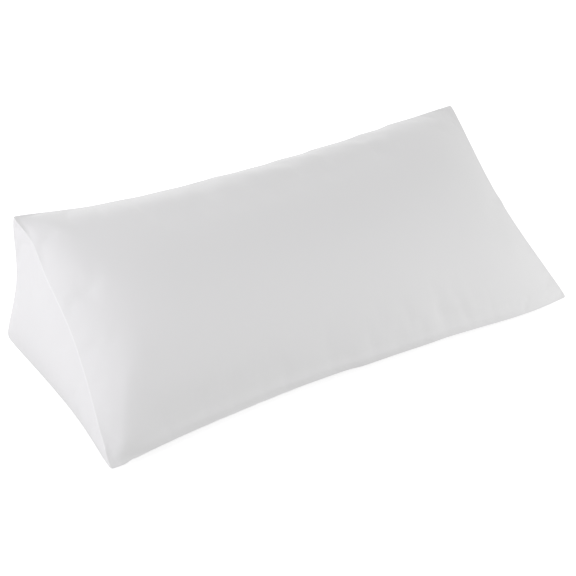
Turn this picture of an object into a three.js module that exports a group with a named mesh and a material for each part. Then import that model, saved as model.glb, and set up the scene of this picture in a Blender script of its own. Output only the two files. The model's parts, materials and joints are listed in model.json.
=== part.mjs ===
// A wedge pillow: a soft three-sided bolster of plain white cotton, filled, and lying on its base.
//
// Its case is five panels: a slope, a back and a base that run the length of the pillow, and a
// triangle at each end. They are sewn edge to edge and turned right side out, so the pillow is one
// filled body whose seams are its edges. The filling swells each panel into a crown and draws the
// seams in between the six pointed corners. The pillow's weight presses the base flat where it lies.
//
// Millimetres. x runs along the pillow, y from its front to its back, and z up from the surface
// that it lies on. The origin is the middle of the box round the pillow, on that surface.
import * as THREE from "three";
import { mergeVertices } from "three/addons/utils/BufferGeometryUtils.js";

// The corners of the filled pillow. Its panels are cut 800 long, 400 down the slope, 400 across the
// base and 250 up the back, and the filling draws them together.
const CORNERS = {
  frontLeft: { x: -390, y: -182, z: 13 },
  frontRight: { x: 387, y: -184, z: 17 },
  backLeft: { x: -386, y: 183, z: 15 },
  backRight: { x: 386, y: 183, z: 15 },
  topLeft: { x: -378, y: 110, z: 240 },
  topRight: { x: 382, y: 113, z: 239 },
};

// The seams, each from one corner to another.
const SEAMS = {
  front: { from: "frontLeft", to: "frontRight" },
  foot: { from: "backLeft", to: "backRight" },
  top: { from: "topLeft", to: "topRight" },
  slopeLeft: { from: "frontLeft", to: "topLeft" },
  slopeRight: { from: "frontRight", to: "topRight" },
  baseLeft: { from: "frontLeft", to: "backLeft" },
  baseRight: { from: "frontRight", to: "backRight" },
  backLeft: { from: "backLeft", to: "topLeft" },
  backRight: { from: "backRight", to: "topRight" },
};

// How far the filling has drawn a seam in from the straight line between its corners, at shares of
// its length.
const DRAWN_IN = [
  { seam: "front", at: 0.2, x: 0, y: 16, z: 0 },
  { seam: "front", at: 0.4, x: 0, y: 22, z: 0 },
  { seam: "front", at: 0.7, x: 0, y: 8, z: 2 },
  { seam: "front", at: 0.9, x: 0, y: -2, z: -1 },
  { seam: "foot", at: 0.5, x: 0, y: -12, z: 4 },
  { seam: "top", at: 0.15, x: 0, y: -6, z: -10 },
  { seam: "top", at: 0.35, x: 0, y: -9, z: -14 },
  { seam: "top", at: 0.65, x: 0, y: -7, z: -11 },
  { seam: "top", at: 0.85, x: 0, y: -3, z: -4 },
  { seam: "slopeLeft", at: 0.5, x: 15, y: -6, z: 5 },
  { seam: "slopeLeft", at: 0.75, x: 12, y: -3, z: 2 },
  { seam: "slopeLeft", at: 0.9, x: 11, y: -2, z: 1 },
  { seam: "slopeRight", at: 0.5, x: -19, y: -4, z: 3 },
  { seam: "baseLeft", at: 0.35, x: 7, y: 0, z: 2 },
  { seam: "baseRight", at: 0.35, x: -8, y: 0, z: 2 },
  { seam: "backLeft", at: 0.5, x: 9, y: -4, z: 0 },
  { seam: "backRight", at: 0.5, x: -10, y: -4, z: 0 },
];

// The long panels, each between a low and a high seam. The crown is how high the panel stands in
// its middle, and the roll is the share of its length over which it rises to that from an end.
const LONG_PANELS = {
  slope: { low: "front", high: "top", left: "slopeLeft", right: "slopeRight", crown: 58, roll: 0.2 },
  back: { low: "foot", high: "top", left: "backLeft", right: "backRight", crown: 22, roll: 0.4 },
  base: { low: "front", high: "foot", left: "baseLeft", right: "baseRight", crown: 46, roll: 0.4 },
};
const ROLL_ACROSS = 0.5; // Across a panel, from the seam to the middle.
const ROUNDNESS = 2.6; // How fully a crown rises from its seam: 1 is a straight rise.

// The soft folds in the long panels. Each runs between two points of its panel, given as shares of
// the panel's length and of its rise from the low to the high seam. Its height is out of the
// pillow, so a trough's is below zero. The ones that leave a corner are where the cloth gathers.
const FOLDS = [
  { panel: "slope", along: [0.05, 0.075], rise: [0.02, 0.3], width: 56, height: 7 },
  { panel: "slope", along: [0.03, 0.05], rise: [0.97, 0.72], width: 50, height: 5 },
  { panel: "slope", along: [0.8, 0.84], rise: [0.35, 0.15], width: 220, height: -7 },
  { panel: "slope", along: [0.5, 0.7], rise: [0.1, 0.11], width: 46, height: 4 },
  { panel: "slope", along: [0.7, 0.75], rise: [0.13, 0.08], width: 40, height: -4 },
  { panel: "slope", along: [0.42, 0.54], rise: [0.97, 0.87], width: 30, height: -3 },
  { panel: "slope", along: [0.62, 0.74], rise: [0.97, 0.88], width: 34, height: -4 },
  { panel: "slope", along: [0.83, 0.92], rise: [0.97, 0.9], width: 30, height: -3 },
  { panel: "slope", along: [0.98, 0.92], rise: [0.04, 0.3], width: 36, height: 4 },
  { panel: "slope", along: [0.98, 0.93], rise: [0.94, 0.72], width: 34, height: -3 },
  { panel: "back", along: [0.02, 0.1], rise: [0.06, 0.4], width: 36, height: 3 },
  { panel: "back", along: [0.98, 0.89], rise: [0.08, 0.45], width: 36, height: 3 },
  { panel: "back", along: [0.34, 0.3], rise: [0.95, 0.7], width: 34, height: -3 },
  { panel: "back", along: [0.68, 0.73], rise: [0.95, 0.72], width: 34, height: -3 },
];
const FOLD_START = 24; // How far from a seam a fold reaches its height.

// The end triangles, each from its front corner to its back seam.
const END_PANELS = {
  leftEnd: { base: "baseLeft", slope: "slopeLeft", back: "backLeft", crown: 17 },
  rightEnd: { base: "baseRight", slope: "slopeRight", back: "backRight", crown: 17 },
};
const END_FULLNESS = 0.85; // Under 1, the end's crown is broader than a plain bubble.

const BEND_AT_SURFACE = 6; // The height above and below the surface over which the case bends flat.

// Steps of the mesh along the pillow and across each long panel. The ends join the slope to the
// base step by step, so those two have as many.
const STEPS = { along: 60, slope: 28, base: 28, back: 18 };
const CROWDING = 0.5; // How much shorter than the mean the steps at the seams are.

const corner = (name) => new THREE.Vector3().copy(CORNERS[name]);
const middle = Object.keys(CORNERS)
  .reduce((sum, name) => sum.add(corner(name)), new THREE.Vector3())
  .divideScalar(Object.keys(CORNERS).length);

// For each seam, a smooth curve through its rows in DRAWN_IN, with nothing at its corners.
const inwardCurves = Object.fromEntries(
  Object.keys(SEAMS).map((seam) => {
    const rows = DRAWN_IN.filter((row) => row.seam === seam);
    const shares = [0, ...rows.map((row) => row.at), 1];
    const vectors = [0, 0, 0, ...rows.flatMap(({ x, y, z }) => [x, y, z]), 0, 0, 0];
    return [seam, new THREE.CubicInterpolant(shares, vectors, 3)];
  }),
);

const drawnIn = (seam, t) => new THREE.Vector3().fromArray(inwardCurves[seam].evaluate(t));

function seamPoint(seam, t) {
  const { from, to } = SEAMS[seam];
  return corner(from).lerp(corner(to), t).add(drawnIn(seam, t));
}

const seamLength = (seam) => corner(SEAMS[seam].from).distanceTo(corner(SEAMS[seam].to));

// The direction square to three corners that points out of the pillow.
function outward(a, b, c) {
  const out = corner(b).sub(corner(a)).cross(corner(c).sub(corner(a))).normalize();
  return out.dot(corner(a).sub(middle)) < 0 ? out.negate() : out;
}

// The share of a crown's full height at share s of the way from one seam to the opposite one.
const swell = (s, roll) => 1 - (1 - Math.min(1, s / roll, (1 - s) / roll)) ** ROUNDNESS;

// Presses flat onto the surface what would reach well below it, with a soft bend at the rim.
function settle(point) {
  const bend = BEND_AT_SURFACE;
  if (point.z < bend) point.z = Math.max(0, point.z + bend) ** 2 / (4 * bend);
  return point;
}

// How far one fold stands out at a spot of its panel, in millimetres over a panel of that size.
function foldHeight({ along, rise, width, height }, spot, size) {
  const [start, end] = [0, 1].map((i) => new THREE.Vector3(along[i], rise[i], 0).multiply(size));
  const nearest = new THREE.Line3(start, end).closestPointToPoint(spot, true, new THREE.Vector3());
  return height * Math.exp(-((2 * spot.distanceTo(nearest) / width) ** 2));
}

// How far all the folds of a long panel stand out at share u along it and share v across it.
function foldsHeight(name, u, v) {
  const { low, left } = LONG_PANELS[name];
  const size = new THREE.Vector3(seamLength(low), seamLength(left), 0);
  const spot = new THREE.Vector3(u, v, 0).multiply(size);
  const toSeam = Math.min(spot.x, size.x - spot.x, spot.y, size.y - spot.y);
  const heights = FOLDS.filter(({ panel }) => panel === name).map((fold) => foldHeight(fold, spot, size));
  return THREE.MathUtils.smoothstep(toSeam, 0, FOLD_START) * heights.reduce((sum, one) => sum + one, 0);
}

// A point of a long panel, at share u along the pillow and share v from the low to the high seam.
function longPanelPoint(name, out, u, v) {
  const { low, high, left, right, crown, roll } = LONG_PANELS[name];
  const height = crown * swell(u, roll) * swell(v, ROLL_ACROSS) + foldsHeight(name, u, v);
  const point = seamPoint(low, u).lerp(seamPoint(high, u), v);
  point.addScaledVector(drawnIn(left, v), 1 - u).addScaledVector(drawnIn(right, v), u);
  return settle(point.addScaledVector(out, height));
}

// A point of an end panel, at share s from the front corner to the back seam, and share w from the
// base to the slope. A point's shares of the three corners have a product of 1/27 in the middle.
function endPanelPoint({ base, slope, back, crown }, out, s, w) {
  const bubble = 27 * (1 - s) * (s * (1 - w)) * (s * w);
  const point = seamPoint(base, s).lerp(seamPoint(slope, s), w);
  point.addScaledVector(drawnIn(back, w), s ** 2);
  return settle(point.addScaledVector(out, crown * bubble ** END_FULLNESS));
}

// Rows of points become triangles. Two rows may differ in length, and each step goes to the row
// that is behind. Every triangle faces the way out that it is given.
function skin(rows, out) {
  const triangles = [];
  const add = (a, b, c) => {
    const facing = b.clone().sub(a).cross(c.clone().sub(a)).dot(out);
    triangles.push(...(facing > 0 ? [a, b, c] : [a, c, b]));
  };
  for (let r = 1; r < rows.length; r++) {
    const [near, far] = [rows[r - 1], rows[r]];
    let [i, j] = [0, 0];
    while (i + 1 < near.length || j + 1 < far.length) {
      const nearDone = near.length > 1 ? (i + 0.5) / (near.length - 1) : 1;
      const farDone = (j + 0.5) / (far.length - 1);
      if (farDone <= nearDone && j + 1 < far.length) add(near[i], far[j], far[++j]);
      else add(near[i], far[j], near[++i]);
    }
  }
  return triangles;
}

// Shares from 0 to 1 in so many steps, which are shorter toward both ends.
const shares = (steps) =>
  Array.from({ length: steps + 1 }, (_, i) => {
    const even = i / steps;
    return even - (CROWDING / (2 * Math.PI)) * Math.sin(2 * Math.PI * even);
  });

function longPanel(name) {
  const { low, high } = LONG_PANELS[name];
  const out = outward(SEAMS[low].from, SEAMS[low].to, SEAMS[high].from);
  const rows = shares(STEPS.along).map((u) =>
    shares(STEPS[name]).map((v) => longPanelPoint(name, out, u, v)),
  );
  return skin(rows, out);
}

function endPanel(panel) {
  const { from, to } = SEAMS[panel.slope];
  const out = outward(from, to, SEAMS[panel.base].to);
  const rows = shares(STEPS.slope).map((s) => {
    const steps = s > 0 ? Math.ceil(STEPS.back * s) : 0;
    return steps ? shares(steps).map((w) => endPanelPoint(panel, out, s, w)) : [seamPoint(panel.slope, 0)];
  });
  return skin(rows, out);
}

// All five panels, sewn into one closed body along the seams that they share.
function pillowGeometry() {
  const corners = [
    ...Object.keys(LONG_PANELS).flatMap(longPanel),
    ...Object.values(END_PANELS).flatMap(endPanel),
  ];
  const sewn = mergeVertices(new THREE.BufferGeometry().setFromPoints(corners), 1e-3);
  sewn.computeBoundingBox();
  const { x, y } = sewn.boundingBox.getCenter(new THREE.Vector3());
  sewn.translate(-x, -y, 0).computeVertexNormals();
  return sewn;
}

const whiteCotton = new THREE.MeshStandardMaterial({ color: 0xf2f2f3, roughness: 0.9, metalness: 0 });

const wedgePillow = new THREE.Mesh(pillowGeometry(), whiteCotton);
wedgePillow.name = "wedge_pillow";

const model = new THREE.Group();
model.add(wedgePillow);
export default model;
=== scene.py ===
# %% [markdown]
# # A wedge pillow of plain white cotton
#
# This lesson dresses one soft object: a long three-sided pillow that lies on its base. Its case is
# five cotton panels, sewn edge to edge and filled. The model that is loaded first has the
# pillow's true size, its corners, its drawn-in seams and its crowned panels. Here the same pillow
# gets the looks that make it read as cloth: panels that swell from their seams, cloth that
# gathers where it is sewn, soft folds, and a fine weave.
#
# Everything is in metres, where the loaded model lies. Only the tables of folds and rolls are in mm.

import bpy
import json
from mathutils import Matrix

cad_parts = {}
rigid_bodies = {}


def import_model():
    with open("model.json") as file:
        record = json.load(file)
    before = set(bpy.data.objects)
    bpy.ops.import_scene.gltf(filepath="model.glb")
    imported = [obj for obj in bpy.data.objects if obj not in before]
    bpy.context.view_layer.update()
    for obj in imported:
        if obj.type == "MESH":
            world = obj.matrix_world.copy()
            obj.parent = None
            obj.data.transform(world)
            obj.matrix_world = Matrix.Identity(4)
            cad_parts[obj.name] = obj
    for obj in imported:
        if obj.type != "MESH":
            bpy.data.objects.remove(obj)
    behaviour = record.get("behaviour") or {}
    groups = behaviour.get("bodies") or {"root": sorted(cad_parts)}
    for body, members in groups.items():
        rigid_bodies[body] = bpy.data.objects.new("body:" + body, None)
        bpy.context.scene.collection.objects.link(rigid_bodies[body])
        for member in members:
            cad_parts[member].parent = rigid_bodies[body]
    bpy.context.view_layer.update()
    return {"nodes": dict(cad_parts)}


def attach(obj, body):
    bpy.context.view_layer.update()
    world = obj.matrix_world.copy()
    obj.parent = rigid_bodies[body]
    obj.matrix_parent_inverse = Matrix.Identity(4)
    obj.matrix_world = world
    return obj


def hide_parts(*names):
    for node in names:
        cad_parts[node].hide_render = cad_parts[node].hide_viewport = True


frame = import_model()

import heapq
import json
import math
import random

import bmesh
import bpy
import numpy as np
from mathutils import Vector
from mathutils.kdtree import KDTree

MM = 0.001
SAME_PLACE = 0.01 * MM  # Points closer than this are one point.
solid = frame["nodes"]["wedge_pillow"]

# %% [markdown]
# ## Choose one object at a time
#
# Blender's operators act on all that is selected, and the loaded solid is. So the first thing that
# each step does is to choose the one object that it works on.

# %% A helper that chooses one object
def choose(piece):
    """Makes one object the only selected one, and the one that the next operators work on."""
    bpy.ops.object.select_all(action="DESELECT")
    piece.select_set(True)
    bpy.context.view_layer.objects.active = piece


bpy.ops.object.select_all(action="DESELECT")
print("chosen objects:", len(bpy.context.selected_objects))

# %% [markdown]
# ## The camera
#
# The pillow is seen from in front of its left end and from above, through a long lens, so that
# its far end looks little smaller than its near end. The camera is placed by turning round a point
# inside the pillow: an azimuth, an elevation and a distance say more than three coordinates would.

# %% Place the camera
AZIMUTH = math.radians(-32.8)
ELEVATION = math.radians(29.9)
DISTANCE = 1.716
FIELD_OF_VIEW = math.radians(28)
AIM = Vector((-0.0105, 0.0005, 0.069))


def direction(azimuth, elevation):
    """The way from the pillow to something seen round it: azimuth 0 is in front, 90 on the right."""
    across = math.cos(elevation)
    return Vector((math.sin(azimuth) * across, -math.cos(azimuth) * across, math.sin(elevation)))


to_camera = direction(AZIMUTH, ELEVATION)
bpy.ops.object.camera_add(
    location=AIM + DISTANCE * to_camera,
    rotation=to_camera.to_track_quat("Z", "Y").to_euler(),
)
camera = bpy.context.object
camera.name = "camera"
camera.data.sensor_width = 36
camera.data.angle = FIELD_OF_VIEW
bpy.context.scene.camera = camera
print("the camera's lens is", round(camera.data.lens, 1), "mm long")

# %% [markdown]
# ## From a solid to a sewn case
#
# The real case is sewn from flat panels, so its seams are its edges and its panels are smooth
# between them. The solid's skin has the same edges. Its copy is loose triangles at first, which
# are merged into one skin.

# %% Copy the solid's skin
pillow = solid.copy()
pillow.data = solid.data.copy()
pillow.name = "pillow_case"
pillow.data.name = "pillow_case"
pillow.parent = None
for key in list(pillow.keys()):
    del pillow[key]
bpy.context.scene.collection.objects.link(pillow)

choose(pillow)
bpy.ops.object.mode_set(mode="EDIT")
bpy.ops.mesh.select_mode(type="VERT")
bpy.ops.mesh.select_all(action="SELECT")
bpy.ops.mesh.remove_doubles(threshold=SAME_PLACE)
bpy.ops.mesh.customdata_custom_splitnormals_clear()
bpy.ops.object.mode_set(mode="OBJECT")
print("points:", len(pillow.data.vertices), "triangles:", len(pillow.data.polygons))

# %% [markdown]
# ## Find the nine seams
#
# A well filled pillow turns only a little where the slope meets an end, so no single angle tells a
# seam from a full panel. A person would follow each seam with a finger, from one corner to the
# next. The same can be done in code: it is the shortest way between two corners when a step along
# an edge counts less, the more sharply the skin turns there, and when no way may pass through
# another corner.

# %% Walk along each seam
CORNERS = {
    "front_left": Vector((-1, -1, 0)),
    "front_right": Vector((1, -1, 0)),
    "back_left": Vector((-1, 1, -1)),
    "back_right": Vector((1, 1, -1)),
    "top_left": Vector((-1, 0, 2)),
    "top_right": Vector((1, 0, 2)),
}
SEAMS = [
    ("front_left", "front_right"),
    ("back_left", "back_right"),
    ("top_left", "top_right"),
    ("front_left", "top_left"),
    ("front_right", "top_right"),
    ("front_left", "back_left"),
    ("front_right", "back_right"),
    ("back_left", "top_left"),
    ("back_right", "top_right"),
]
FLAT_TURN = math.radians(2)  # Added to every turn, so that a flat step is dear but not endless.
SHARP_TURN = math.radians(12)  # A step over this turn counts as one along a seam.


def walk_seam(start, end, corners):
    """The edges of the way from one corner to another that keeps to where the skin turns."""
    best, arrived = {start: 0.0}, {}
    waiting = [(0.0, start.index, start)]
    while waiting:
        spent, _, here = heapq.heappop(waiting)
        if here == end:
            break
        for edge in here.link_edges:
            there = edge.other_vert(here)
            if there in corners and there != end:
                continue
            sharpness = min(edge.calc_face_angle(), SHARP_TURN) + FLAT_TURN
            total = spent + edge.calc_length() / sharpness**2
            if total < best.get(there, math.inf):
                best[there], arrived[there] = total, edge
                heapq.heappush(waiting, (total, there.index, there))
    edges = []
    while here != start:
        edges.append(arrived[here])
        here = arrived[here].other_vert(here)
    return edges


def mark_seams(piece):
    """Marks the nine seams on a piece's mesh."""
    skin = bmesh.new()
    skin.from_mesh(piece.data)
    corners = {name: max(skin.verts, key=lambda v: v.co.dot(way)) for name, way in CORNERS.items()}
    for start, end in SEAMS:
        edges = walk_seam(corners[start], corners[end], set(corners.values()))
        length = sum(edge.calc_length() for edge in edges)
        print(start, "to", end, "is", len(edges), "edges and", round(length / MM), "mm long")
        for edge in edges:
            edge.seam = True
    skin.to_mesh(piece.data)
    skin.free()


mark_seams(pillow)

# %% [markdown]
# ## Quads between the seams
#
# Simulated cloth folds along its mesh's edges, and a net of triangles would put slanting folds
# everywhere. So each pair of triangles becomes a quad, but never across a seam. The seams also
# get a crease, which keeps them from being rounded off when the skin is made finer.

# %% Turn triangles into quads and crease the seams
MOST_TURN = math.radians(60)  # Two triangles that turn more than this against each other stay two.
MOST_SKEW = math.radians(80)  # So do two whose quad would have corners this far from square.
SEAM_CREASE = 0.6


def select_edges(piece, chosen):
    """Selects the edges of a mesh that pass a test, and nothing else."""
    choose(piece)
    bpy.ops.object.mode_set(mode="EDIT")
    bpy.ops.mesh.select_mode(type="EDGE")
    bpy.ops.mesh.select_all(action="DESELECT")
    bpy.ops.object.mode_set(mode="OBJECT")
    for edge in piece.data.edges:
        edge.select = chosen(edge)


select_edges(pillow, lambda edge: True)
bpy.ops.object.mode_set(mode="EDIT")
bpy.ops.mesh.tris_convert_to_quads(face_threshold=MOST_TURN, shape_threshold=MOST_SKEW, seam=True)
bpy.ops.object.mode_set(mode="OBJECT")
select_edges(pillow, lambda edge: edge.use_seam)
bpy.ops.object.mode_set(mode="EDIT")
bpy.ops.transform.edge_crease(value=SEAM_CREASE)
bpy.ops.object.mode_set(mode="OBJECT")
seam_edges = sum(edge.use_seam for edge in pillow.data.edges)
print("faces:", len(pillow.data.polygons), "edges on seams:", seam_edges)

# %% [markdown]
# ## Name the five panels
#
# Later steps treat the panels apart: each has its own grain, and a seam is where two of them meet.
# A panel is found as a person would find it, by choosing one face that looks the panel's way and
# growing the choice up to the seams. Each panel becomes a vertex group. Subdividing carries
# vertex groups along, so the names stay true on the finer skin.

# %% Name the panels
PANEL_FACING = {
    "slope": Vector((0, -0.61, 0.79)),
    "back": Vector((0, 0.95, 0.31)),
    "base": Vector((0, 0, -1)),
    "left_end": Vector((-1, 0, 0)),
    "right_end": Vector((1, 0, 0)),
}


def name_panel(piece, name, facing):
    """Puts the panel that looks one way into a vertex group of its own."""
    choose(piece)
    bpy.ops.object.mode_set(mode="EDIT")
    bpy.ops.mesh.select_mode(type="FACE")
    bpy.ops.mesh.select_all(action="DESELECT")
    bpy.ops.object.mode_set(mode="OBJECT")
    max(piece.data.polygons, key=lambda face: face.normal.dot(facing)).select = True
    bpy.ops.object.mode_set(mode="EDIT")
    bpy.ops.mesh.select_linked(delimit={"SEAM"})
    group = piece.vertex_groups.new(name=name)
    piece.vertex_groups.active_index = group.index
    bpy.ops.object.vertex_group_assign()
    faces = piece.data.total_face_sel
    bpy.ops.object.mode_set(mode="OBJECT")
    print(name, "has", faces, "faces")


for name, facing in PANEL_FACING.items():
    name_panel(pillow, name, facing)

# %% [markdown]
# ## A finer skin, and its seams as numbers
#
# One level of subdivision gives the simulation enough cloth to fold. The next steps also need to
# know, for every point of the skin, how far the nearest seam is. The helpers here read points and
# groups as arrays, because a loop over every point in turn would be slow.

# %% Subdivide once, and measure from the seams
FULL_WEIGHT = 0.99  # A new point that lies only partly in a panel has less.
SAMPLE_STEP = 2 * MM  # How close together a seam is sampled.


def finish_modifier(piece, name):
    """Makes a modifier's result the piece's own mesh."""
    choose(piece)
    bpy.ops.object.modifier_apply(modifier=name)


def subdivide(piece):
    """Rounds the piece's skin once, so that each face becomes four."""
    rounding = piece.modifiers.new("Rounding", "SUBSURF")
    rounding.levels = rounding.render_levels = 1
    finish_modifier(piece, rounding.name)


def points_of(piece):
    """The places of all points of a mesh, a row for each."""
    places = np.empty(3 * len(piece.data.vertices))
    piece.data.vertices.foreach_get("co", places)
    return places.reshape(-1, 3)


def move_points(piece, places):
    """Puts all points of a mesh at new places."""
    piece.data.vertices.foreach_set("co", places.ravel())
    piece.data.update()


def in_panel(piece, name):
    """Whether each point belongs to a panel. A point on a seam belongs to both of its panels."""
    index = piece.vertex_groups[name].index
    return np.array([
        any(entry.group == index and entry.weight > FULL_WEIGHT for entry in vertex.groups)
        for vertex in piece.data.vertices
    ])


def seam_tree(piece, between=None):
    """A tree of points close together along the seams, or along the one between two panels."""
    mesh = piece.data
    chosen = np.array([edge.use_seam for edge in mesh.edges])
    if between:
        both = in_panel(piece, between[0]) & in_panel(piece, between[1])
        chosen &= np.array([all(both[end] for end in edge.vertices) for edge in mesh.edges])
    samples = []
    for index in np.flatnonzero(chosen):
        start, end = (mesh.vertices[i].co for i in mesh.edges[index].vertices)
        steps = max(1, math.ceil((end - start).length / SAMPLE_STEP))
        samples += [start.lerp(end, step / steps) for step in range(steps + 1)]
    tree = KDTree(len(samples))
    for index, place in enumerate(samples):
        tree.insert(place, index)
    tree.balance()
    return tree


def distance_to(tree, places):
    """How far each place is from the nearest point in a tree."""
    return np.array([tree.find(place)[2] for place in places])


subdivide(pillow)
to_seam = distance_to(seam_tree(pillow), points_of(pillow))
print("points:", len(to_seam), "widest from a seam:", round(to_seam.max() / MM), "mm")

# %% [markdown]
# ## Swell the case with simulated cloth
#
# Cloth that is sewn and then filled is a little too long for its seams. The filling pushes it out,
# and what is too long gathers into small waves that leave the seam and die away in the panel.
# Moving points by hand could copy one such wave, but not how a hundred of them share out the
# cloth, so this is left to Blender's Cloth.
#
# Two groups steer it. One holds the seams near their true places, and the flat base firmly in its
# place. The other says where the cloth grows: in a band along the seams, and not in the middle of
# a panel, which stays smooth. Pressure stands in for the filling. Gravity is off, because the
# filling carries the cloth. At the end no point may have left its place by more than a cap.

# %% Swell the case
GROWTH = 0.011  # The share that cloth grows by where it grows most.
GROWTH_START = 12 * MM  # How far from a seam the growth is in full.
GROWTH_END = 105 * MM  # How far from a seam it has died away.
GROWTH_FADE = 0.7 * GROWTH_END  # Over how long a way it dies away.
PANEL_GROWTH = {"slope": 0.6, "back": 1.0, "base": 0.6, "left_end": 0.5, "right_end": 0.5}
FLOOR_BAND = 0.5 * MM  # Points lower than this are held firmly.
SEAM_HOLD = 0.5  # How firmly the seams are held, where 1 is firmly.
PIN_STIFFNESS = 5
STRETCH_STIFFNESS = 15
SHEAR_STIFFNESS = 6
BEND_STIFFNESS = 1
CLOTH_DAMPING = 20
AIR_DAMPING = 3
CLOTH_MASS = 0.1
PRESSURE = 8
STEPS_IN_FRAME = 6
FRAMES = 20
CAP = 9 * MM  # The farthest that a point may end up from its old place.
LEAST_LENGTH = 1e-9  # Stands for no length, so that nothing is divided by zero.


def paint_group(piece, name, weights):
    """Makes a vertex group with a weight for each point."""
    group = piece.vertex_groups.new(name=name)
    for index, weight in enumerate(weights):
        group.add([index], float(weight), "REPLACE")
    return group.name


def swell(piece, seam_distance):
    """Runs the cloth simulation on a piece and keeps its result, up to the cap."""
    before = points_of(piece)
    rise = np.clip(seam_distance / GROWTH_START, 0, 1)
    fall = np.clip((GROWTH_END - seam_distance) / GROWTH_FADE, 0, 1)
    growth = rise * fall * sum(share * in_panel(piece, name) for name, share in PANEL_GROWTH.items())
    held = np.where(seam_distance < SAME_PLACE, SEAM_HOLD, 0.0)
    held[before[:, 2] < FLOOR_BAND] = 1

    cloth = piece.modifiers.new("Cloth", "CLOTH")
    settings = cloth.settings
    settings.quality = STEPS_IN_FRAME
    settings.mass = CLOTH_MASS
    settings.tension_stiffness = settings.compression_stiffness = STRETCH_STIFFNESS
    settings.shear_stiffness = SHEAR_STIFFNESS
    settings.bending_stiffness = BEND_STIFFNESS
    settings.tension_damping = settings.compression_damping = CLOTH_DAMPING
    settings.shear_damping = CLOTH_DAMPING
    settings.air_damping = AIR_DAMPING
    settings.use_pressure = True
    settings.uniform_pressure_force = PRESSURE
    settings.vertex_group_mass = paint_group(piece, "held", held)
    settings.pin_stiffness = PIN_STIFFNESS
    settings.vertex_group_shrink = paint_group(piece, "not_grown", 1 - np.clip(growth, 0, 1))
    settings.shrink_min = -GROWTH
    settings.shrink_max = 0
    settings.effector_weights.gravity = 0
    cloth.collision_settings.use_collision = False
    cloth.point_cache.frame_end = FRAMES
    for number in range(1, FRAMES + 1):
        bpy.context.scene.frame_set(number)
    finish_modifier(piece, cloth.name)

    moved = points_of(piece) - before
    length = np.linalg.norm(moved, axis=1)
    share = CAP * np.tanh(length / CAP) / np.maximum(length, LEAST_LENGTH)
    after = before + moved * share[:, None]
    after[:, 2] = np.maximum(after[:, 2], 0)
    move_points(piece, after)
    print("swelled by", round(length.mean() / MM, 1), "mm, at most", round(length.max() / MM, 1))


swell(pillow, to_seam)
subdivide(pillow)
print("points:", len(pillow.data.vertices), "faces:", len(pillow.data.polygons))

# %% [markdown]
# ## The grain of each panel
#
# A weave follows the cloth and not the room, so the case gets a UV map in metres of cloth. Each
# panel lies nearly in one plane, so a point's place on the cut panel is near enough its distance
# along two directions of that plane. The same two numbers say where a fold lies in the next step.

# %% Lay out the cut panels
PANEL_GRAIN = {
    "slope": (Vector((1, 0, 0)), Vector((0, 0.79, 0.61))),
    "back": (Vector((1, 0, 0)), Vector((0, -0.31, 0.95))),
    "base": (Vector((1, 0, 0)), Vector((0, 1, 0))),
    "left_end": (Vector((0, 1, 0)), Vector((0, 0, 1))),
    "right_end": (Vector((0, 1, 0)), Vector((0, 0, 1))),
}


def cut_places(piece, panel):
    """Where each point of a piece would lie on one cut panel: along its length, and across it."""
    return points_of(piece) @ np.array(PANEL_GRAIN[panel]).T


def lay_out(piece):
    """Writes the UV map, panel by panel."""
    mesh = piece.data
    while mesh.uv_layers:
        mesh.uv_layers.remove(mesh.uv_layers[0])
    layer = mesh.uv_layers.new(name="cut_cloth")
    corners = np.array([loop.vertex_index for loop in mesh.loops])
    of_face = np.repeat(np.arange(len(mesh.polygons)), [p.loop_total for p in mesh.polygons])
    uv = np.zeros((len(corners), 2))
    for order, panel in enumerate(PANEL_GRAIN):
        member = in_panel(piece, panel)[corners].astype(int)
        whole = np.bincount(of_face, member) == np.bincount(of_face)
        inside = whole[of_face]
        uv[inside] = cut_places(piece, panel)[corners[inside]] + (0, order)
    layer.data.foreach_set("uv", uv.ravel())
    print("laid out", len(PANEL_GRAIN), "panels on", len(corners), "face corners")


lay_out(pillow)

# %% [markdown]
# ## Folds that are listed one by one
#
# Some folds are particular to this pillow: how its front corner stands up, the soft tongues where
# the top seam pulls, and the hollow where the slope rolls over to the floor. Each is a row in a
# table: where it starts and ends on the cut panel, how wide it is, and how far it stands out, all
# in mm. A fold is a soft bell in section and dies away at both ends.

# %% Press in the folds
FOLDS = [
    {"panel": "slope", "start": (-372, -136), "end": (-334, -40), "width": 18, "height": 1.2},
    {"panel": "slope", "start": (-348, -128), "end": (-318, -76), "width": 28, "height": -1.6},
    {"panel": "slope", "start": (-305, -100), "end": (-120, -94), "width": 46, "height": -2.8},
    {"panel": "slope", "start": (-370, 204), "end": (-364, 160), "width": 16, "height": -0.8},
    {"panel": "slope", "start": (-342, 106), "end": (-332, 78), "width": 18, "height": -0.6},
    {"panel": "slope", "start": (-70, 212), "end": (24, 188), "width": 26, "height": 1.4},
    {"panel": "slope", "start": (30, 214), "end": (96, 198), "width": 20, "height": 1.1},
    {"panel": "slope", "start": (100, 218), "end": (190, 192), "width": 26, "height": 1.6},
    {"panel": "slope", "start": (190, 222), "end": (240, 208), "width": 18, "height": 0.9},
    {"panel": "slope", "start": (250, 224), "end": (325, 198), "width": 26, "height": 1.5},
    {"panel": "slope", "start": (364, 150), "end": (350, 130), "width": 14, "height": 1.2},
    {"panel": "slope", "start": (366, 50), "end": (350, 34), "width": 14, "height": 1.0},
    {"panel": "slope", "start": (10, -110), "end": (125, -108), "width": 32, "height": 2.6},
    {"panel": "slope", "start": (150, -92), "end": (172, -102), "width": 20, "height": -1.2},
    {"panel": "slope", "start": (298, -128), "end": (308, -118), "width": 10, "height": -0.8},
    {"panel": "left_end", "start": (-158, 34), "end": (-150, 46), "width": 9, "height": -1.0},
    {"panel": "left_end", "start": (66, 196), "end": (52, 166), "width": 12, "height": -1.0},
]


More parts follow.
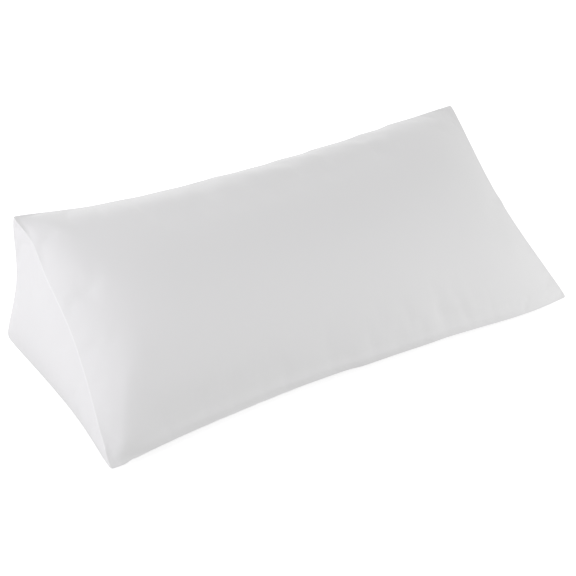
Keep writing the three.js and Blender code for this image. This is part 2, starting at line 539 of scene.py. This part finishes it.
def fold_relief(piece):
    """How far the folds move each point, along the skin's normal."""
    relief = np.zeros(len(piece.data.vertices))
    for panel in PANEL_GRAIN:
        places = cut_places(piece, panel) / MM
        member = in_panel(piece, panel)
        for row in FOLDS:
            if row["panel"] != panel:
                continue
            start, end = np.array(row["start"]), np.array(row["end"])
            run = end - start
            share = np.clip((places - start) @ run / (run @ run), 0, 1)
            away = np.linalg.norm(places - start - share[:, None] * run, axis=1)
            bell = np.exp(-((2 * away / row["width"]) ** 2))
            relief += member * row["height"] * MM * bell
    return relief


def normals_of(piece):
    """The skin's direction at each point."""
    normals = np.empty(3 * len(piece.data.vertices))
    piece.data.vertices.foreach_get("normal", normals)
    return normals.reshape(-1, 3)


def raise_skin(piece, relief):
    """Moves each point along its normal, and keeps the base on the floor."""
    places = points_of(piece) + normals_of(piece) * relief[:, None]
    places[:, 2] = np.maximum(places[:, 2], 0)
    move_points(piece, places)


relief = fold_relief(pillow)
raise_skin(pillow, relief)
print("folds reach from", round(relief.min() / MM, 1), "to", round(relief.max() / MM, 1), "mm")

# %% [markdown]
# ## The sewn edges
#
# A seam that is sewn inside out ends both panels sharply, so the skin is smooth except across its
# seams. Along the two long seams of the slope the filling rolls the cloth over: at the front it
# hangs over the seam as a lip, and at the top it bulges up before the seam pulls it down. Neither
# is even. Both come and go along the pillow, as a sum of three waves with seeded starts. How far
# each point is from a seam is kept on the skin, for the material.

# %% Shape the sewn edges
ROLLS = [  # In mm. The middle of each roll lies from_seam away from its seam.
    {"seam": ("slope", "base"), "on": ["slope"], "from_seam": 11, "width": 7, "height": 3.0},
    {"seam": ("slope", "back"), "on": ["slope"], "from_seam": 38, "width": 26, "height": 5.2},
    {"seam": ("slope", "back"), "on": ["slope", "back"], "from_seam": 0, "width": 11, "height": -2.2},
]
ROLL_END = 0.36  # How far from the pillow's middle the rolls have died away.
ROLL_WAVES = (0.31, 0.13, 0.071)  # The lengths of their waves.
ROLL_MEAN = 0.8  # The share of its height that a roll has on the whole.
ROLL_SWING = 0.1  # How much of it each wave adds or takes away.

random.seed(7)


def roll_relief(piece, row):
    """How far one roll along a seam moves each point."""
    places = points_of(piece)
    away = distance_to(seam_tree(piece, between=row["seam"]), places)
    section = np.exp(-(((away / MM - row["from_seam"]) / row["width"]) ** 2))
    section *= np.any([in_panel(piece, panel) for panel in row["on"]], axis=0)
    waves = sum(
        np.sin(2 * math.pi * places[:, 0] / length + random.uniform(0, 2 * math.pi))
        for length in ROLL_WAVES
    )
    along = np.clip(1 - (np.abs(places[:, 0]) / ROLL_END) ** 4, 0, 1)
    return row["height"] * MM * section * along * (ROLL_MEAN + ROLL_SWING * waves)


raise_skin(pillow, sum(roll_relief(pillow, row) for row in ROLLS))
seam_distance = distance_to(seam_tree(pillow), points_of(pillow))
from_seam = pillow.data.attributes.new("from_seam", "FLOAT", "POINT")
from_seam.data.foreach_set("value", seam_distance)
choose(pillow)
bpy.ops.object.shade_smooth()
select_edges(pillow, lambda edge: edge.use_seam)
bpy.ops.object.mode_set(mode="EDIT")
bpy.ops.mesh.mark_sharp()
bpy.ops.object.mode_set(mode="OBJECT")
print("points on seams:", int((seam_distance < SAME_PLACE).sum()))

# %% [markdown]
# ## Blunt corners
#
# A sewn corner never turns out to a perfect point: its seam allowances fill the tip. Each tip is
# pushed in along its own direction, most at the point itself and hardly at all a thumb's width
# further in, which leaves it small and round.

# %% Round the tips
TIP_CUT = 2.5 * MM  # How far the point itself is pushed in.
TIP_REACH = 30 * MM  # How far from it the push has nearly died away.


def blunt_tips(piece):
    """Rounds the six corner tips."""
    places = points_of(piece)
    middle = (places.min(axis=0) + places.max(axis=0)) / 2
    for way in CORNERS.values():
        tip = places[np.argmax(places @ np.array(way))]
        outward = (tip - middle) / np.linalg.norm(tip - middle)
        depth = np.maximum((tip - places) @ outward, 0)
        near = np.exp(-((np.linalg.norm(places - tip, axis=1) / TIP_REACH) ** 2))
        push = near * (np.sqrt(depth**2 + TIP_CUT**2) - depth)
        places = places - push[:, None] * outward
    places[:, 2] = np.maximum(places[:, 2], 0)
    move_points(piece, places)


blunt_tips(pillow)
print("the rounded case is", round(pillow.dimensions.x / MM), "mm long")

# %% [markdown]
# ## White cotton
#
# Plain white cotton is matte, with a soft bloom where light grazes it. Its threads are finer than
# anything seen from a step away, but they show close to, so the weave is a bump of two crossed
# waves. A noise drawn out along the cloth makes some threads thicker than others, and a slow one
# keeps the panels from being as smooth as plastic. Along the seams the turned edges lie under the
# cloth. There it stands up a little, and a painted highlight makes it a shade lighter, for the
# light that its raised edge would catch.

# %% Mix the cotton
COTTON_WHITE = (0.745, 0.743, 0.745, 1)
# The seams' painted highlight: a lighter white where the raised edges would catch the light.
PAINTED_SEAM_HIGHLIGHT = (0.815, 0.813, 0.815, 1)
THREAD_PITCH = 0.5 * MM
THREAD_HEIGHT = 0.012 * MM
SLUB_HEIGHT = 0.02 * MM  # How much thicker the thick threads are.
WAVE_HEIGHT = 0.3 * MM  # The slow unevenness of a whole panel.
SEAM_HEIGHT = 0.1 * MM
SEAM_WIDTH = 1.6 * MM  # How far from a seam its turned edges reach.


def combine(tree, operation, first, second=0):
    """A node that works on two values, each a number or another node's output."""
    node = tree.nodes.new("ShaderNodeMath")
    node.operation = operation
    for socket, value in zip(node.inputs, (first, second)):
        if isinstance(value, (int, float)):
            socket.default_value = value
        else:
            tree.links.new(value, socket)
    return node.outputs[0]


def noise(tree, cloth, stretch, scale, detail):
    """A noise on the cut cloth, drawn out along its length by the stretch."""
    mapping = tree.nodes.new("ShaderNodeMapping")
    mapping.inputs["Scale"].default_value = (1 / stretch, 1, 1)
    texture = tree.nodes.new("ShaderNodeTexNoise")
    texture.inputs["Scale"].default_value = scale
    texture.inputs["Detail"].default_value = detail
    tree.links.new(cloth, mapping.inputs["Vector"])
    tree.links.new(mapping.outputs["Vector"], texture.inputs["Vector"])
    return texture.outputs[0]


def cloth_height(tree):
    """The height of the weave, its thicker threads and the cloth's slow unevenness."""
    layer = tree.nodes.new("ShaderNodeUVMap")
    layer.uv_map = "cut_cloth"
    cloth = layer.outputs["UV"]
    split = tree.nodes.new("ShaderNodeSeparateXYZ")
    tree.links.new(cloth, split.inputs["Vector"])
    waves = [
        combine(tree, "SINE", combine(tree, "MULTIPLY", split.outputs[axis], math.pi / THREAD_PITCH))
        for axis in ("X", "Y")
    ]
    weave = combine(tree, "MULTIPLY", combine(tree, "MULTIPLY", *waves), THREAD_HEIGHT)
    uneven = noise(tree, cloth, stretch=12, scale=700, detail=1)
    slubs = combine(tree, "MULTIPLY", uneven, SLUB_HEIGHT)
    slow = noise(tree, cloth, stretch=1.5, scale=22, detail=2)
    rumple = combine(tree, "MULTIPLY", slow, WAVE_HEIGHT)
    return combine(tree, "ADD", combine(tree, "ADD", weave, slubs), rumple)


def seam_share(tree):
    """How much of the turned edges lies under each place, for their bump and the painted highlight: 1
    on a seam, and 0 past their width.
    """
    from_seam = tree.nodes.new("ShaderNodeAttribute")
    from_seam.attribute_name = "from_seam"
    share = tree.nodes.new("ShaderNodeMapRange")
    share.interpolation_type = "SMOOTHSTEP"
    share.inputs["From Max"].default_value = SEAM_WIDTH
    share.inputs["To Min"].default_value = 1
    share.inputs["To Max"].default_value = 0
    tree.links.new(from_seam.outputs["Fac"], share.inputs["Value"])
    return share.outputs[0]


def tone_with_painted_highlight(tree, at_seam):
    """The cotton's white, with a painted highlight that makes it a shade lighter along the seams."""
    tone = tree.nodes.new("ShaderNodeMix")
    tone.data_type = "RGBA"
    plain, highlighted = [socket for socket in tone.inputs if socket.type == "RGBA"]
    plain.default_value = COTTON_WHITE
    highlighted.default_value = PAINTED_SEAM_HIGHLIGHT
    tree.links.new(at_seam, tone.inputs[0])
    return [socket for socket in tone.outputs if socket.type == "RGBA"][0]


def plain_cotton():
    """A matte white cotton whose weave follows the cut cloth."""
    cotton = bpy.data.materials.new("white_cotton_cloth")
    cotton.use_nodes = True
    tree = cotton.node_tree
    shader = tree.nodes["Principled BSDF"]
    shader.inputs["Roughness"].default_value = 0.9
    shader.inputs["Specular IOR Level"].default_value = 0.25
    shader.inputs["Sheen Weight"].default_value = 0.15
    shader.inputs["Sheen Roughness"].default_value = 0.5

    at_seam = seam_share(tree)
    # The base colour carries the painted highlight along the seams.
    tree.links.new(tone_with_painted_highlight(tree, at_seam), shader.inputs["Base Color"])
    ridge = combine(tree, "MULTIPLY", at_seam, SEAM_HEIGHT)
    bump = tree.nodes.new("ShaderNodeBump")
    bump.inputs["Strength"].default_value = 1
    bump.inputs["Distance"].default_value = 1
    tree.links.new(combine(tree, "ADD", cloth_height(tree), ridge), bump.inputs["Height"])
    tree.links.new(bump.outputs["Normal"], shader.inputs["Normal"])
    return cotton


pillow.data.materials.clear()
pillow.data.materials.append(plain_cotton())
print("the case has", len(pillow.data.materials), "finish")

# %% [markdown]
# ## Floor and light
#
# The pillow lies in a white studio. The floor is a wide white table that glows a little, so that
# it stays white beside the pillow. That glow would also light the front of the pillow from below
# and drown the shade under its lip, so the table is left out of the light that bounces onto other
# things. The world is a soft white glow that fills the shadows.
#
# Two cool softboxes near the left end, one high and one low, make that end the brightest part.
# Another lights the slope's right part from low in front, and a weak one fills in from the camera's
# side. The strongest is behind the pillow. It lights the table and draws the bright rim along the
# top seam, where the cloth rolls over.

# %% Lay the floor
TABLE_WHITE = (0.95, 0.95, 0.95, 1)
TABLE_GLOW = 0.4
TABLE_SIZE = 80
TABLE_GAP = 0.5 * MM  # The table lies this far below the pillow, so that the two never share a plane.

bpy.ops.mesh.primitive_plane_add(size=TABLE_SIZE, location=(0, 0, -TABLE_GAP))
floor = bpy.context.object
floor.name = "studio_floor"
white = bpy.data.materials.new("studio_white")
white.use_nodes = True
table = white.node_tree.nodes["Principled BSDF"]
table.inputs["Base Color"].default_value = TABLE_WHITE
table.inputs["Roughness"].default_value = 1
table.inputs["Specular IOR Level"].default_value = 0
table.inputs["Emission Color"].default_value = (1, 1, 1, 1)
table.inputs["Emission Strength"].default_value = TABLE_GLOW
floor.data.materials.append(white)
floor.visible_diffuse = False
print("the floor is", round(floor.dimensions.x), "metres wide")

# %% Light the studio
GLOW = 0.65
COOL = (0.97, 0.955, 1)

world = bpy.data.worlds.new("studio_glow")
world.use_nodes = True
world.node_tree.nodes["Background"].inputs["Color"].default_value = (1, 1, 1, 1)
world.node_tree.nodes["Background"].inputs["Strength"].default_value = GLOW
bpy.context.scene.world = world
bpy.context.scene.view_settings.view_transform = "Standard"


def add_softbox(name, azimuth, elevation, distance, size, power, colour=(1, 1, 1)):
    """A square soft light that looks at the pillow from one side."""
    way = direction(math.radians(azimuth), math.radians(elevation))
    bpy.ops.object.light_add(
        type="AREA", location=AIM + distance * way, rotation=way.to_track_quat("Z", "Y").to_euler()
    )
    light = bpy.context.object
    light.name = name
    light.data.size = size
    light.data.energy = power
    light.data.color = colour


add_softbox("left_softbox", azimuth=-76, elevation=32, distance=1.2, size=0.9, power=2.8, colour=COOL)
add_softbox("low_softbox", azimuth=-102, elevation=2, distance=1.4, size=0.9, power=5.4, colour=COOL)
add_softbox("right_softbox", azimuth=48, elevation=8, distance=1.3, size=0.9, power=5.4)
add_softbox("front_softbox", azimuth=-10, elevation=12, distance=3, size=2.5, power=4)
add_softbox("back_softbox", azimuth=170, elevation=22, distance=4, size=2.5, power=78)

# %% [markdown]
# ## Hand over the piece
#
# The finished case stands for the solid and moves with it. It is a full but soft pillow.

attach(pillow, "root")
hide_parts("wedge_pillow")
